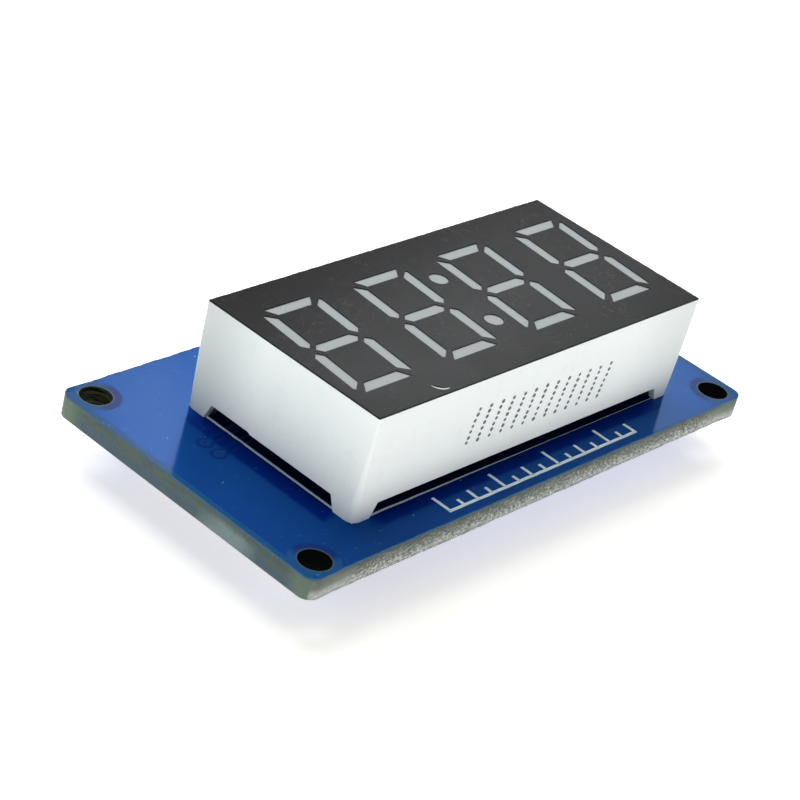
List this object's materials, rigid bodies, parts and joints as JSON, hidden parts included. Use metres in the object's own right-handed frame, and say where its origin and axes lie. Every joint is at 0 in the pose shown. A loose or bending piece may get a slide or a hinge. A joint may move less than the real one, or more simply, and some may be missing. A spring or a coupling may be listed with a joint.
{
  "type": "seven segment display module",
  "caption": "LED clock display with colon dots on a small circuit board with corner mounting holes, a driver chip and an angled pin header on the back.",
  "frame": {"origin": "centre of the rectangle of the four mounting holes, on the circuit board's back face", "axes": "+X along the display from its first digit to its last; +Y towards the side with the pin header, the tops of the digits; +Z out of the display's face"},
  "size_m": [0.041, 0.0275, 0.0112],
  "materials": {
    "board_mask": "gloss blue solder mask on glass fibre board",
    "housing_white": "fine satin moulded plastic",
    "face_dark": "satin dark grey print",
    "segment_epoxy": "milky cast epoxy",
    "inner_board": "bare glass fibre",
    "led_chip": "gloss",
    "tinned_pin": "tinned",
    "solder": "bright solder",
    "header_black": "satin moulded plastic",
    "header_pin": "gold flash",
    "chip_black": "matt moulding compound",
    "tinned_lead": "tinned",
    "capacitor_tan": "satin ceramic",
    "resistor_black": "glazed"
  },
  "bodies": {
    "root": {"circuit_board": "board_mask", "display_housing": "housing_white", "face_print": "face_dark", "epoxy_fill": "segment_epoxy", "display_inner_board": "inner_board", "led_chips": "led_chip", "display_pin_1": "tinned_pin", "display_pin_2": "tinned_pin", "display_pin_3": "tinned_pin", "display_pin_4": "tinned_pin", "display_pin_5": "tinned_pin", "display_pin_6": "tinned_pin", "display_pin_7": "tinned_pin", "display_pin_8": "tinned_pin", "display_pin_9": "tinned_pin", "display_pin_10": "tinned_pin", "display_pin_11": "tinned_pin", "display_pin_12": "tinned_pin", "display_solder_joints": "solder", "header_body": "header_black", "header_pin_1": "header_pin", "header_pin_2": "header_pin", "header_pin_3": "header_pin", "header_pin_4": "header_pin", "header_solder_joints": "solder", "driver_chip": "chip_black", "driver_chip_leads": "tinned_lead", "capacitor_1": "capacitor_tan", "capacitor_2": "capacitor_tan", "capacitor_3": "capacitor_tan", "capacitor_4": "capacitor_tan", "resistor_1": "resistor_black", "resistor_2": "resistor_black", "chip_part_ends": "tinned_lead"}
  },
  "joints": []
}
